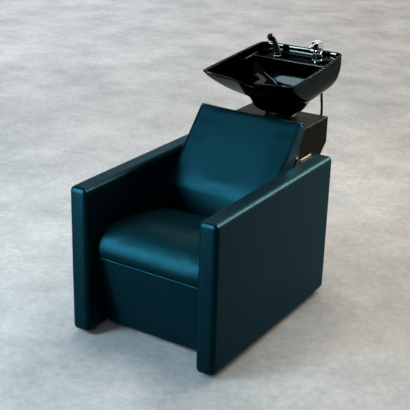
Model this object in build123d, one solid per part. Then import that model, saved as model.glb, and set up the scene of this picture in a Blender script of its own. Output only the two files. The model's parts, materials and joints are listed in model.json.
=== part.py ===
from build123d import *
import os
from math import atan2, cos, hypot, pi, radians, sin, tan

# Hair washing bed with upholstered slab arms and a tilting basin.
# Lengths are in millimetres. X runs across the seat, Y runs from the front to the rear,
# Z runs up from the floor. While the pieces are made, Y is 0 at the front of the arms.

# Driving dimensions of the seat
TOTAL_WIDTH = 676.0
ARM_THICK = 84.0
ARM_LENGTH = 936.0
ARM_TOP = 640.0
ARM_ROUND = 13.0
FOOT_HEIGHT = 18.0
PADDING = 12.0
INNER_HALF = TOTAL_WIDTH / 2 - ARM_THICK
BOARD = 13.0
SEAT_BOARD = 18.0
TUBE = 40.0
TUBE_WALL = 2.5

# Driving dimensions of the cushions, as places in the side view (y, z)
SEAT_HALF = 252.0
SEAT_SEAM = (66.0, 336.0)
SEAT_NOSE = (56.0, 438.0)
SEAT_CREST = (92.0, 457.0)
SEAT_REAR = (526.0, 396.0)
SEAT_BASE_REAR = (526.0, 302.0)
SEAT_CROWN = 10.0
KICK_BOTTOM = (128.0, 24.0)
BACK_HALF = 246.0
BACK_FRONT_Y = 533.0
BACK_BEND_Z = 497.0
BACK_TOP_FRONT = (800.0, 808.0)
BACK_TOP_REAR = (851.0, 772.0)
BACK_REAR_FOOT = (610.0, 392.0)
BACK_BOTTOM_Z = 330.0
BACK_SWELL = 10.0

# Driving dimensions of the housing behind the backrest
HOUSING_HALF = 192.0
HOUSING_TOP = 730.0
HOUSING_REAR = 1168.0
HOUSING_REAR_FOOT = 612.0
UNDERSIDE_SLOPE = 0.857
UNDERSIDE_FRONT = 921.0
ACCESS_PANEL_Y = 905.0
ACCESS_PANEL_TOP = 590.0

# Driving dimensions of the basin, whose rim plane rises to the rear
RIM_FRONT_Y = 752.0
RIM_FRONT_Z = 959.0
RIM_TILT = 5.0
DECK_DROP = 38.0
DECK_THICK = 12.0
FITTING_HALF_SPACING = 102.5
FITTING_V = 450.0
DRAIN_V = 305.0
BOWL_BOTTOM = 222.0
BOWL_FLOOR = 212.0
NOTCH_DEPTH = 52.0
RIM_EASE = 2.0
PIVOT_DROP = 242.0
PIN_RADIUS = 5.0
RUNNING_GAP = 0.05
HOSE_DIAMETER = 11.0

BASIN_PLANE = Plane(
    origin=(0, RIM_FRONT_Y, RIM_FRONT_Z),
    x_dir=(1, 0, 0),
    z_dir=(0, -sin(radians(RIM_TILT)), cos(radians(RIM_TILT))),
)
BASIN_PLACE = BASIN_PLANE.location

parts = {}


# Helpers

def block(x0, x1, y0, y1, z0, z1):
    """A box between two corners."""
    centre = Pos((x0 + x1) / 2, (y0 + y1) / 2, (z0 + z1) / 2)
    return centre * Box(x1 - x0, y1 - y0, z1 - z0)


def upright(outline):
    """A solid turned about the Z axis from (radius, z) points."""
    return revolve(Plane.XZ * make_face(Polyline(*outline, close=True)), Axis.Z)


def side_prism(outline, x0, x1):
    """A prism across X with an outline given in the side view (y, z)."""
    face = make_face(Polyline(*outline, close=True))
    return extrude(Plane.YZ.offset(x0) * face, x1 - x0)


def rod(radius, start, end):
    """A round bar from one point to another."""
    start = Vector(*start)
    end = Vector(*end)
    axis = end - start
    return extrude(Plane(origin=start, z_dir=axis) * Circle(radius), axis.length)


def pipe(radius, bore, points, bend):
    """A tube along straight runs with round bends."""
    path = FilletPolyline(*points, radius=bend)
    start = Plane(origin=path @ 0, z_dir=path % 0)
    outer = sweep(start * Circle(radius), path=path)
    if bore:
        outer -= sweep(start * Circle(bore), path=path)
    return outer


def mirrored(solid):
    """The same piece on the other side of the seat."""
    return mirror(solid, about=Plane.YZ)


def both_sides(name, solid):
    """Names a piece on the right and its mirror image on the left."""
    parts["right_" + name] = solid
    parts["left_" + name] = mirrored(solid)


def basin_point(u, v, w):
    """A place given across, back along and up from the rim plane."""
    return BASIN_PLANE.from_local_coords(Vector(u, v, w))


# Arms and feet

def arm_core():
    """The solid core inside the padding, with holes for the studs of its feet."""
    x0 = INNER_HALF + PADDING
    x1 = TOTAL_WIDTH / 2 - PADDING
    core = block(x0, x1, PADDING, ARM_LENGTH - PADDING, FOOT_HEIGHT, ARM_TOP - PADDING)
    for y in FOOT_PLACES:
        core -= rod(4.2, (ARM_MIDDLE, y, FOOT_HEIGHT), (ARM_MIDDLE, y, FOOT_HEIGHT + 32))
    return core


def arm_cover():
    """The padding and leatherette round the core, open underneath."""
    slab = block(INNER_HALF, TOTAL_WIDTH / 2, 0, ARM_LENGTH, FOOT_HEIGHT, ARM_TOP)
    sharp = slab.edges().filter_by_position(Axis.Z, FOOT_HEIGHT, FOOT_HEIGHT)
    rounded = [edge for edge in slab.edges() if edge not in sharp]
    slab = fillet(rounded, ARM_ROUND)
    x0 = INNER_HALF + PADDING
    x1 = TOTAL_WIDTH / 2 - PADDING
    return slab - block(x0, x1, PADDING, ARM_LENGTH - PADDING, FOOT_HEIGHT, ARM_TOP - PADDING)


def foot(y):
    """A round glide on a stud that is driven into the arm."""
    stud_top = FOOT_HEIGHT + 30
    outline = [(0, 0), (17, 0), (20, 3), (22, FOOT_HEIGHT), (4, FOOT_HEIGHT), (4, stud_top), (0, stud_top)]
    return Pos(ARM_MIDDLE, y, 0) * upright(outline)


ARM_MIDDLE = INNER_HALF + ARM_THICK / 2
FOOT_PLACES = (70.0, ARM_LENGTH - 70.0)


def make_arms():
    both_sides("arm_core", arm_core())
    both_sides("arm_cover", arm_cover())
    both_sides("front_foot", foot(FOOT_PLACES[0]))
    both_sides("rear_foot", foot(FOOT_PLACES[1]))


# Seat and kick panel

def seat_section(x, inset, rise):
    """The cushion's outline in the plane at x, drawn in by inset and lifted by rise."""
    seam = (SEAT_SEAM[0] + inset, SEAT_SEAM[1])
    nose = (SEAT_NOSE[0] + inset, SEAT_NOSE[1] + rise)
    crest = (SEAT_CREST[0] + inset, SEAT_CREST[1] + rise)
    rear = (SEAT_REAR[0], SEAT_REAR[1] + rise)
    base_rear = SEAT_BASE_REAR
    belly = ((seam[0] + nose[0]) / 2 - 7, (seam[1] + nose[1]) / 2)
    shoulder = (nose[0] + 11, nose[1] + 15)
    middle = ((crest[0] + rear[0]) / 2, (crest[1] + rear[1]) / 2 + 9)
    outline = [
        ThreePointArc(seam, belly, nose),
        ThreePointArc(nose, shoulder, crest),
        ThreePointArc(crest, middle, rear),
        Line(rear, base_rear),
        Line(base_rear, seam),
    ]
    return Plane.YZ.offset(x) * make_face(outline)


def seat_cushion():
    edge = SEAT_HALF
    sections = [
        seat_section(-edge, 8, -14),
        seat_section(-edge + 16, 1, -1),
        seat_section(-edge * 0.55, -1, SEAT_CROWN * 0.8),
        seat_section(0, -2, SEAT_CROWN),
        seat_section(edge * 0.55, -1, SEAT_CROWN * 0.8),
        seat_section(edge - 16, 1, -1),
        seat_section(edge, 8, -14),
    ]
    return loft(sections)


def seat_board():
    """The sloping board under the seat cushion, with vent holes."""
    slope = (SEAT_BASE_REAR[1] - SEAT_SEAM[1]) / (SEAT_BASE_REAR[0] - SEAT_SEAM[0])
    front = (SEAT_SEAM[0] + 32, SEAT_SEAM[1] + slope * 32)
    rear = SEAT_BASE_REAR
    outline = [front, rear, (rear[0], rear[1] - SEAT_BOARD), (front[0], front[1] - SEAT_BOARD)]
    board = side_prism(outline, -SEAT_HALF, SEAT_HALF)
    for x in (-150, -50, 50, 150):
        board -= rod(12, (x, 300, 250), (x, 300, 360))
    return board


def seat_batten():
    """A timber batten that carries the seat board on the right arm."""
    slope = (SEAT_BASE_REAR[1] - SEAT_SEAM[1]) / (SEAT_BASE_REAR[0] - SEAT_SEAM[0])
    y0 = 120
    y1 = 500
    top0 = SEAT_SEAM[1] + slope * (y0 - SEAT_SEAM[0]) - SEAT_BOARD
    top1 = SEAT_SEAM[1] + slope * (y1 - SEAT_SEAM[0]) - SEAT_BOARD
    outline = [(y0, top0), (y1, top1), (y1, top1 - 40), (y0, top0 - 40)]
    return side_prism(outline, SEAT_HALF - 28, INNER_HALF)


def kick_line(inset):
    """The kick panel's front line from top to foot, moved back by inset."""
    top = (SEAT_SEAM[0], SEAT_SEAM[1] - 3)
    step = inset / cos(atan2(KICK_BOTTOM[0] - top[0], top[1] - KICK_BOTTOM[1]))
    return (top[0] + step, top[1]), (KICK_BOTTOM[0] + step, KICK_BOTTOM[1])


def kick_layer(front, back, half):
    top0, foot0 = kick_line(front)
    top1, foot1 = kick_line(back)
    return side_prism([top0, top1, foot1, foot0], -half, half)


def kick_cover():
    pad = kick_layer(0, 12, SEAT_HALF)
    front = pad.faces().sort_by(Axis.Y)[0]
    return fillet(front.edges(), 5)


def make_seat():
    parts["seat_board"] = seat_board()
    parts["seat_cushion"] = seat_cushion()
    parts["kick_board"] = kick_layer(12, 24, SEAT_HALF - 2)
    parts["kick_cover"] = kick_cover()


# Backrest

def back_section(x, inset, swell):
    """The wedge outline of the backrest at x, drawn in by inset at its front, with its face swollen."""
    bend = (BACK_FRONT_Y + inset, BACK_BEND_Z)
    rise = hypot(BACK_TOP_FRONT[0] - bend[0], BACK_TOP_FRONT[1] - bend[1])
    out = ((bend[1] - BACK_TOP_FRONT[1]) / rise, (BACK_TOP_FRONT[0] - bend[0]) / rise)
    top = (BACK_TOP_FRONT[0] + inset * 0.6, BACK_TOP_FRONT[1] - inset * 0.6)
    rear_top = BACK_TOP_REAR
    lower = (bend[0] + swell * out[0] * 0.4, BACK_BOTTOM_Z)
    low_bend = (bend[0] + swell * out[0] * 0.4, bend[1] - 30)
    high_bend = (bend[0] + 34 + swell * out[0], bend[1] + 38 + swell * out[1])
    face_end = (top[0] - 10, top[1] - 11)
    face_middle = (
        (high_bend[0] + face_end[0]) / 2 + swell * out[0],
        (high_bend[1] + face_end[1]) / 2 + swell * out[1],
    )
    crown_end = (top[0] + 12, top[1] - 6)
    outline = [
        Line(lower, low_bend),
        ThreePointArc(low_bend, (bend[0] + 7 + swell * out[0] * 0.7, bend[1] + 7), high_bend),
        ThreePointArc(high_bend, face_middle, face_end),
        ThreePointArc(face_end, (top[0] - 1, top[1] - 3), crown_end),
        Line(crown_end, rear_top),
        Line(rear_top, BACK_REAR_FOOT),
        Line(BACK_REAR_FOOT, (BACK_REAR_FOOT[0], BACK_BOTTOM_Z)),
        Line((BACK_REAR_FOOT[0], BACK_BOTTOM_Z), lower),
    ]
    return Plane.YZ.offset(x) * make_face(outline)


def back_cushion():
    edge = BACK_HALF
    sections = [
        back_section(-edge, 9, -3),
        back_section(-edge + 14, 0, -1),
        back_section(-edge * 0.5, 0, BACK_SWELL * 0.8),
        back_section(0, 0, BACK_SWELL),
        back_section(edge * 0.5, 0, BACK_SWELL * 0.8),
        back_section(edge - 14, 0, -1),
        back_section(edge, 9, -3),
    ]
    return loft(sections)


def rear_line(offset, z):
    """The y of the line offset behind the backrest's rear face, at height z."""
    run = BACK_TOP_REAR[0] - BACK_REAR_FOOT[0]
    rise = BACK_TOP_REAR[1] - BACK_REAR_FOOT[1]
    return BACK_REAR_FOOT[0] + (z - BACK_REAR_FOOT[1]) * run / rise + offset * hypot(run, rise) / rise


def back_layer(front, back, z0, z1, x0, x1):
    """A board parallel to the backrest's rear face, between two offsets and two heights."""
    outline = [(rear_line(front, z0), z0), (rear_line(front, z1), z1)]
    outline += [(rear_line(back, z1), z1), (rear_line(back, z0), z0)]
    return side_prism(outline, x0, x1)


def back_batten():
    """A timber batten behind the back board on the right arm."""
    return back_layer(15, 45, 420, 560, INNER_HALF - 30, INNER_HALF)


def make_back():
    parts["back_board"] = back_layer(0, 15, 392, 716, -BACK_HALF + 4, BACK_HALF - 4)
    parts["back_cushion"] = back_cushion()


# Steel frame

def square_tube_along(start, end, axis):
    """A square tube with open ends."""
    middle = tuple((a + b) / 2 for a, b in zip(start, end))
    length = max(abs(b - a) for a, b in zip(start, end))
    outer = {"X": (length, TUBE, TUBE), "Y": (TUBE, length, TUBE), "Z": (TUBE, TUBE, length)}[axis]
    inside = TUBE - 2 * TUBE_WALL
    inner = {
        "X": (length, inside, inside), "Y": (inside, length, inside), "Z": (inside, inside, length),
    }[axis]
    return Pos(*middle) * (Box(*outer) - Box(*inner))


def base_rail(y):
    """A cross tube with a flange plate at each end, screwed to the arms."""
    z = 52
    flange = 6
    rail = square_tube_along((-INNER_HALF + flange, y, z), (INNER_HALF - flange, y, z), "X")
    for side in (-1, 1):
        x0 = side * INNER_HALF
        x1 = side * (INNER_HALF - flange)
        plate = block(min(x0, x1), max(x0, x1), y - 40, y + 40, z - 26, z + 54)
        for dy in (-30, 30):
            plate -= rod(4, (x0, y + dy, z + 40), (x1, y + dy, z + 40))
        rail += plate
    return rail


POST_X = 150.0
POST_Y = 858.0
CARRIER_Z = HOUSING_TOP - BOARD - 5 - TUBE / 2


def make_frame():
    parts["front_base_rail"] = base_rail(205)
    parts["rear_base_rail"] = base_rail(POST_Y)
    post = square_tube_along((POST_X, POST_Y, 72), (POST_X, POST_Y, CARRIER_Z - TUBE / 2), "Z")
    both_sides("post", post)
    carrier = square_tube_along((POST_X, POST_Y - TUBE / 2, CARRIER_Z), (POST_X, 1145, CARRIER_Z), "Y")
    both_sides("carrier", carrier)
    plate = block(-172, 172, 960, 1150, HOUSING_TOP - BOARD - 5, HOUSING_TOP - BOARD)
    plate -= block(-50, 50, PIVOT.Y - 45, PIVOT.Y + 45, 600, 800)
    for dx, dy in BASE_BOLT_PLACES:
        plate -= rod(3, (dx, PIVOT.Y + dy, 700), (dx, PIVOT.Y + dy, 740))
    parts["support_plate"] = plate


# Housing of black boards

def underside_z(y):
    """The height of the housing's sloping underside at y."""
    return HOUSING_REAR_FOOT - (HOUSING_REAR - y) * UNDERSIDE_SLOPE


def housing_side():
    inner_rear = HOUSING_REAR - BOARD
    outline = [
        (rear_line(18, HOUSING_TOP - BOARD), HOUSING_TOP - BOARD),
        (inner_rear, HOUSING_TOP - BOARD),
        (inner_rear, underside_z(inner_rear)),
        (UNDERSIDE_FRONT, underside_z(UNDERSIDE_FRONT)),
        (800, underside_z(UNDERSIDE_FRONT)),
        (rear_line(18, 520), 520),
    ]
    return side_prism(outline, HOUSING_HALF - BOARD, HOUSING_HALF)


def housing_rear():
    inner = HOUSING_REAR - BOARD
    top = HOUSING_TOP - BOARD
    outline = [(inner, underside_z(inner)), (HOUSING_REAR, HOUSING_REAR_FOOT)]
    outline += [(HOUSING_REAR, top), (inner, top)]
    return side_prism(outline, -HOUSING_HALF, HOUSING_HALF)


def housing_underside():
    rear = HOUSING_REAR - BOARD
    front = UNDERSIDE_FRONT
    lift = BOARD * hypot(1, UNDERSIDE_SLOPE)
    outline = [
        (front, underside_z(front)),
        (rear, underside_z(rear)),
        (rear, underside_z(rear) + lift),
        (front, underside_z(front) + lift),
    ]
    half = HOUSING_HALF - BOARD
    return side_prism(outline, -half, half)


def housing_top():
    front = rear_line(18, HOUSING_TOP - BOARD)
    board = block(-HOUSING_HALF, HOUSING_HALF, front, HOUSING_REAR, HOUSING_TOP - BOARD, HOUSING_TOP)
    board = fillet(board.edges().filter_by(Axis.Y).group_by(Axis.Z)[-1], 1.5)
    board -= block(-50, 50, PIVOT.Y - 36, PIVOT.Y + 36, 700, 760)
    for dx, dy in BASE_BOLT_PLACES:
        board -= rod(3, (dx, PIVOT.Y + dy, 700), (dx, PIVOT.Y + dy, 740))
    return board


def cabinet_top():
    """The board that closes the gap between the housing's side and the arm."""
    low = ACCESS_PANEL_TOP
    return block(HOUSING_HALF, INNER_HALF - 5, 790, ACCESS_PANEL_Y, low, low + BOARD)


def side_bracket():
    """A bright steel plate on the arm's inner face, with a foot under the cabinet top."""
    upright = block(INNER_HALF - 5, INNER_HALF, 800, 895, 578, ARM_TOP + 2)
    lower = block(HOUSING_HALF, INNER_HALF - 5, 800, 895, ACCESS_PANEL_TOP - 5, ACCESS_PANEL_TOP)
    bracket = upright + lower
    for y in (820, 875):
        bracket -= rod(3, (INNER_HALF - 10, y, 612), (INNER_HALF + 5, y, 612))
    return bracket


def access_panel():
    half = INNER_HALF - 2
    y0 = ACCESS_PANEL_Y
    y1 = ACCESS_PANEL_Y + BOARD
    panel = block(-half, half, y0, y1, 30, ACCESS_PANEL_TOP)
    notch_floor = underside_z(UNDERSIDE_FRONT) - 4
    panel -= block(-HOUSING_HALF - 1, HOUSING_HALF + 1, y0 - 1, y1 + 1, notch_floor, 700)
    panel -= rod(22, (0, y0 - 5, OUTLET_Z), (0, y1 + 5, OUTLET_Z))
    for x in (-INLET_X, INLET_X):
        panel -= rod(11.5, (x, y0 - 5, OUTLET_Z), (x, y1 + 5, OUTLET_Z))
    for x, z in PANEL_SCREWS:
        panel -= rod(2.5, (x, y0 - 5, z), (x, y1 + 5, z))
    return panel


def panel_screws():
    screws = []
    y1 = ACCESS_PANEL_Y + BOARD
    for x, z in PANEL_SCREWS:
        screw = upright([(0, -32), (2.4, -32), (2.4, 0), (6, 0), (6, 1.5), (4.5, 3), (0, 3)])
        screws.append(Pos(x, y1, z) * Rot(-90, 0, 0) * screw)
    return Compound(screws)


OUTLET_Z = 220.0
INLET_X = 105.0
PANEL_SCREWS = [(side * 235, z) for z in (130, 340, 550) for side in (-1, 1)]


def panel_batten():
    """A timber batten on the right arm that the access panel is screwed to."""
    batten = block(INNER_HALF - 32, INNER_HALF, ACCESS_PANEL_Y - 24, ACCESS_PANEL_Y, 110, 570)
    for x, z in PANEL_SCREWS:
        batten -= rod(2.4, (x, ACCESS_PANEL_Y - 30, z), (x, ACCESS_PANEL_Y + 1, z))
    return batten


def timber_battens():
    right = [seat_batten(), back_batten(), panel_batten()]
    return Compound(right + [mirrored(batten) for batten in right])


def make_housing():
    both_sides("housing_side", housing_side())
    parts["housing_rear"] = housing_rear()
    parts["housing_underside"] = housing_underside()
    parts["housing_top"] = housing_top()
    both_sides("cabinet_top", cabinet_top())
    both_sides("side_bracket", side_bracket())
    parts["timber_battens"] = timber_battens()
    parts["rear_access_panel"] = access_panel()
    parts["access_panel_screws"] = panel_screws()


# Tilt mechanism under the bowl

PIVOT = basin_point(0, DRAIN_V, -PIVOT_DROP)
BASE_BOLT_PLACES = [(-42, -28), (42, -28), (-42, 28), (42, 28)]
CHEEK_END = 9.5
NECK_RADIUS = 71.0
EAR_MIDDLE = 38.7
EAR_THICK = 5.0
CRADLE_BOLT_REACH = 46.0


def cheek(x0, x1, foot_z, bore):
    """An upright ear with a round end about the pivot."""
    ear = rod(CHEEK_END, (x0, PIVOT.Y, PIVOT.Z), (x1, PIVOT.Y, PIVOT.Z))
    low = min(foot_z, PIVOT.Z)
    high = max(foot_z, PIVOT.Z)
    ear += block(x0, x1, PIVOT.Y - CHEEK_END, PIVOT.Y + CHEEK_END, low, high)
    return ear - rod(bore, (x0 - 1, PIVOT.Y, PIVOT.Z), (x1 + 1, PIVOT.Y, PIVOT.Z))


def tilt_base():
    plate = block(-52, 52, PIVOT.Y - 37, PIVOT.Y + 37, HOUSING_TOP, HOUSING_TOP + 4)
    plate = fillet(plate.edges().filter_by(Axis.Z), 8)
    plate -= block(-28, 28, PIVOT.Y - 30, PIVOT.Y + 30, 700, 760)
    for dx, dy in BASE_BOLT_PLACES:
        plate -= rod(3, (dx, PIVOT.Y + dy, 700), (dx, PIVOT.Y + dy, 760))
    for x0, x1 in ((42, 47), (-47, -42)):
        plate += cheek(x0, x1, HOUSING_TOP + 2, PIN_RADIUS)
    return plate


def tilt_base_bolts():
    bolts = []
    for dx, dy in BASE_BOLT_PLACES:
        y = PIVOT.Y + dy
        head = extrude(Pos(dx, y, HOUSING_TOP + 4) * RegularPolygon(5.2, 6), 4)
        shank = rod(3, (dx, y, HOUSING_TOP - BOARD - 12), (dx, y, HOUSING_TOP + 5))
        nut = extrude(Pos(dx, y, HOUSING_TOP - BOARD - 10) * RegularPolygon(5.2, 6), 5)
        bolts.append(head + shank + nut)
    return Compound(bolts)


def neck_cover():
    """A round rubber collar about the tilt mechanism, with two shallow folds."""
    outline = [(NECK_RADIUS - 3, 0), (NECK_RADIUS + 3, 0), (NECK_RADIUS + 3, 2), (NECK_RADIUS, 3)]
    outline += [(NECK_RADIUS, 5), (NECK_RADIUS - 1.5, 6.5), (NECK_RADIUS, 8)]
    outline += [(NECK_RADIUS, 11), (NECK_RADIUS - 3, 11)]
    return Pos(0, PIVOT.Y, HOUSING_TOP) * upright(outline)


def pivot_pins():
    pins = []
    for side in (-1, 1):
        pin = rod(PIN_RADIUS, (side * 35, PIVOT.Y, PIVOT.Z), (side * 48, PIVOT.Y, PIVOT.Z))
        pin += rod(7, (side * 47, PIVOT.Y, PIVOT.Z), (side * 51, PIVOT.Y, PIVOT.Z))
        pins.append(pin)
    return Compound(pins)


def tilt_cradle():
    """The plate under the bowl with two ears on the pivot, in the basin's own directions."""
    plate = extrude(Pos(0, DRAIN_V, -BOWL_BOTTOM - 5) * Circle(NECK_RADIUS), 5)
    plate -= extrude(Pos(0, DRAIN_V, -BOWL_BOTTOM - 6) * Circle(25), 8)
    for u, v in CRADLE_BOLTS:
        plate -= extrude(Pos(u, v, -BOWL_BOTTOM - 6) * Circle(3), 8)
    drop = PIVOT_DROP - BOWL_BOTTOM - 2
    for middle in (-EAR_MIDDLE, EAR_MIDDLE):
        place = Pos(middle, DRAIN_V, -PIVOT_DROP)
        ear = place * Rot(0, 90, 0) * Cylinder(CHEEK_END, EAR_THICK)
        ear += place * Pos(0, 0, drop / 2) * Box(EAR_THICK, 2 * CHEEK_END, drop)
        ear -= place * Rot(0, 90, 0) * Cylinder(PIN_RADIUS + RUNNING_GAP, 4 * EAR_THICK)
        plate += ear
    return plate.moved(BASIN_PLACE)


CRADLE_BOLTS = [
    (-CRADLE_BOLT_REACH, DRAIN_V - CRADLE_BOLT_REACH),
    (CRADLE_BOLT_REACH, DRAIN_V - CRADLE_BOLT_REACH),
    (-CRADLE_BOLT_REACH, DRAIN_V + CRADLE_BOLT_REACH),
    (CRADLE_BOLT_REACH, DRAIN_V + CRADLE_BOLT_REACH),
]


def cradle_bolts():
    bolts = []
    for u, v in CRADLE_BOLTS:
        head = extrude(Pos(u, v, -BOWL_BOTTOM - 9) * RegularPolygon(5.2, 6), 4)
        shank = extrude(Pos(u, v, -BOWL_BOTTOM - 8) * Circle(3), 14)
        bolts.append((head + shank).moved(BASIN_PLACE))
    return Compound(bolts)


def make_tilt():
    parts["tilt_base"] = tilt_base()
    parts["tilt_base_bolts"] = tilt_base_bolts()
    parts["neck_cover"] = neck_cover()
    parts["pivot_pins"] = pivot_pins()
    parts["tilt_cradle"] = tilt_cradle()
    parts["cradle_bolts"] = cradle_bolts()


# Basin, in its own directions: u across, v back along the rim, w up from the rim plane

def basin_section(w, half_front, half_rear, v_front, v_rear, r_front, r_rear, bulge=0.0):
    """A rounded outline at height w, a little wider at mid length by bulge."""
    side = (half_front + half_rear) / 2 + bulge
    v_middle = (v_front + v_rear) / 2
    corners = [(half_front, v_front), (half_rear, v_rear), (-half_rear, v_rear), (-half_front, v_front)]
    outline = [
        ThreePointArc(corners[0], (side, v_middle), corners[1]),
        Line(corners[1], corners[2]),
        ThreePointArc(corners[2], (-side, v_middle), corners[3]),
        Line(corners[3], corners[0]),
    ]
    face = make_face(outline)
    rear = face.vertices().group_by(Axis.Y)[-1]
    face = fillet(rear, r_rear)
    front = face.vertices().group_by(Axis.Y)[0]
    face = fillet([vertex for vertex in front if abs(vertex.X) > half_front - 1], r_front)
    return Pos(0, 0, w) * face


OUTER_SECTIONS = [
    (0, 222, 206, -6, 508, 24, 36, 6),
    (-30, 216, 205, 22, 508, 28, 38, 6),
    (-80, 205, 203, 84, 504, 42, 45, 5),
    (-115, 196, 196, 132, 494, 56, 60, 3),
    (-140, 182, 180, 168, 474, 75, 75, 1),
    (-165, 150, 150, 190, 428, 100, 100, 0.5),
    (-195, 128, 128, 202, 388, 88, 88, 0.5),
    (-BOWL_BOTTOM, 95, 95, 222, 388, 78, 78, 0.5),
]
UPPER_SECTIONS = [
    (3, 211, 195, 4, 499, 16, 28, 6),
    (-18, 208, 195, 22, 497, 20, 28, 6),
    (-DECK_DROP, 204, 193, 42, 495, 28, 28, 6),
]
BOWL_SECTIONS = [
    (-DECK_DROP, 204, 193, 42, 408, 28, 22, 6),
    (-75, 194, 190, 90, 407, 40, 26, 5),
    (-105, 185, 181, 130, 402, 52, 42, 3),
    (-130, 171, 166, 164, 392, 68, 70, 1),
    (-155, 142, 140, 190, 382, 90, 90, 0.5),
    (-185, 116, 114, 208, 376, 80, 80, 0.5),
    (-BOWL_FLOOR, 70, 70, 240, 368, 60, 60, 0.5),
]
UNDER_SECTIONS = [
    (-DECK_DROP - DECK_THICK, 190, 188, 420, 497, 20, 24, 1),
    (-100, 184, 182, 416, 489, 20, 30, 1),
    (-135, 166, 162, 408, 468, 16, 26, 1),
    (-170, 150, 146, 400, 458, 16, 20, 1),
]


def notch_cutter():
    """The neck notch as a smooth curve across the front of the rim."""
    half = 190
    curve = Spline(
        (-half, 6), (-120, -9), (-66, -19), (0, -NOTCH_DEPTH), (66, -19), (120, -9), (half, 6),
    )
    closing = Polyline((half, 6), (half, 40), (-half, 40), (-half, 6))
    face = Plane.XZ * make_face([curve, closing])
    return Pos(0, -40, 0) * extrude(face, -150)


def eased_rim(shell):
    """The shell with the edges of its rim and of its neck notch taken off."""
    rim = shell.faces().filter_by_position(Axis.Z, -0.01, 0.01)
    curved = shell.faces().filter_by(GeomType.EXTRUSION)
    notch = [face for face in curved if face.bounding_box().size.X > 300]
    edges = [edge for face in list(rim) + notch for edge in face.edges()]
    return chamfer(edges, RIM_EASE)


def basin_bowl():
    shell = loft([basin_section(*row) for row in OUTER_SECTIONS])
    shell -= loft([basin_section(*row) for row in UPPER_SECTIONS])
    shell -= loft([basin_section(*row) for row in BOWL_SECTIONS])
    shell -= notch_cutter()
    shell -= loft([basin_section(*row) for row in UNDER_SECTIONS], ruled=True)
    for u, radius in ((FITTING_HALF_SPACING, 16.5), (-FITTING_HALF_SPACING, 14.5)):
        shell -= Pos(u, FITTING_V, -DECK_DROP - DECK_THICK / 2) * Cylinder(radius, DECK_THICK + 4)
    shell -= Pos(0, DRAIN_V, -BOWL_BOTTOM) * Cylinder(24, 40)
    for u, v in CRADLE_BOLTS:
        shell -= Pos(u, v, -BOWL_BOTTOM + 3) * Cylinder(3, 6.2)
    return eased_rim(shell).moved(BASIN_PLACE)


# Waste fittings

def turned(outline):
    """A solid of revolution about the drain's axis from (radius, w) points."""
    face = Plane.XZ * make_face(Polyline(*outline, close=True))
    return Pos(0, DRAIN_V, 0) * revolve(face, Axis.Z)


def waste_flange():
    floor = -BOWL_FLOOR
    outline = [(20.2, -238), (23, -238), (23, floor), (34, floor)]
    outline += [(34, floor + 1.5), (30, floor + 2.5), (20.2, floor + 1)]
    return turned(outline).moved(BASIN_PLACE)


def waste_nut():
    top = -BOWL_BOTTOM - 5
    nut = extrude(Pos(0, DRAIN_V, top - 6) * RegularPolygon(34, 8), 6)
    nut -= Pos(0, DRAIN_V, top - 3) * Cylinder(23, 8)
    return nut.moved(BASIN_PLACE)


def waste_tail():
    return turned([(18, -300), (20, -300), (20, -224), (18, -224)]).moved(BASIN_PLACE)


def hair_strainer():
    rest = -BOWL_FLOOR + 2.8
    cap = turned([(0, rest), (27, rest), (27, rest + 1.5), (14, rest + 5), (0, rest + 6)])
    for ring, count, radius in ((20, 12, 2.2), (12, 8, 2.2)):
        for spot in PolarLocations(ring, count):
            cap -= Pos(0, DRAIN_V, rest) * spot * Cylinder(radius, 30)
    cap += Pos(0, DRAIN_V, rest + 9) * Cylinder(4, 8)
    return cap.moved(BASIN_PLACE)


def waste_funnel():
    """A wide socket that the bowl's tail hangs into, free to swing with the basin."""
    outline = [(16, 640), (20, 640), (20, 662), (42, 688), (42, 706)]
    outline += [(39, 706), (39, 689), (18, 663), (18, 642), (16, 642)]
    return Pos(0, PIVOT.Y, 0) * upright(outline)


TRAP_Y = 800.0
TRAP_TOP = 300.0
SPIGOT_START = ACCESS_PANEL_Y + BOARD + 1
WASTE_END = SPIGOT_START + 41
INLET_END = SPIGOT_START + 26


def waste_pipe():
    points = [(0, PIVOT.Y, 640), (0, PIVOT.Y, 590), (0, TRAP_Y, 400), (0, TRAP_Y, TRAP_TOP)]
    return pipe(20, 18, points, 38)


def waste_trap():
    cup = rod(34, (0, TRAP_Y, 170), (0, TRAP_Y, 280))
    cup = fillet(cup.edges().group_by(Axis.Z)[0], 8)
    collar = rod(26, (0, TRAP_Y, 280), (0, TRAP_Y, TRAP_TOP))
    trap = cup + collar
    trap += rod(24, (0, TRAP_Y + 20, OUTLET_Z), (0, TRAP_Y + 46, OUTLET_Z))
    trap += rod(21.5, (0, TRAP_Y, OUTLET_Z), (0, SPIGOT_START, OUTLET_Z))
    trap += rod(20, (0, TRAP_Y, OUTLET_Z), (0, WASTE_END, OUTLET_Z))
    return trap - rod(18, (0, TRAP_Y + 20, OUTLET_Z), (0, WASTE_END + 1, OUTLET_Z))


def inlet():
    """A threaded brass nipple with a hexagon against the access panel's inner face."""
    x = INLET_X
    y0 = ACCESS_PANEL_Y
    nipple = rod(11.2, (x, y0 - 28, OUTLET_Z), (x, SPIGOT_START, OUTLET_Z))
    nipple += rod(10.48, (x, y0, OUTLET_Z), (x, INLET_END, OUTLET_Z))
    hexagon = extrude(Plane(origin=(x, y0 - 10, OUTLET_Z), z_dir=(0, 1, 0)) * RegularPolygon(15, 6), 10)
    return nipple + hexagon - rod(7.5, (x, y0 - 40, OUTLET_Z), (x, INLET_END + 1, OUTLET_Z))


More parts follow.
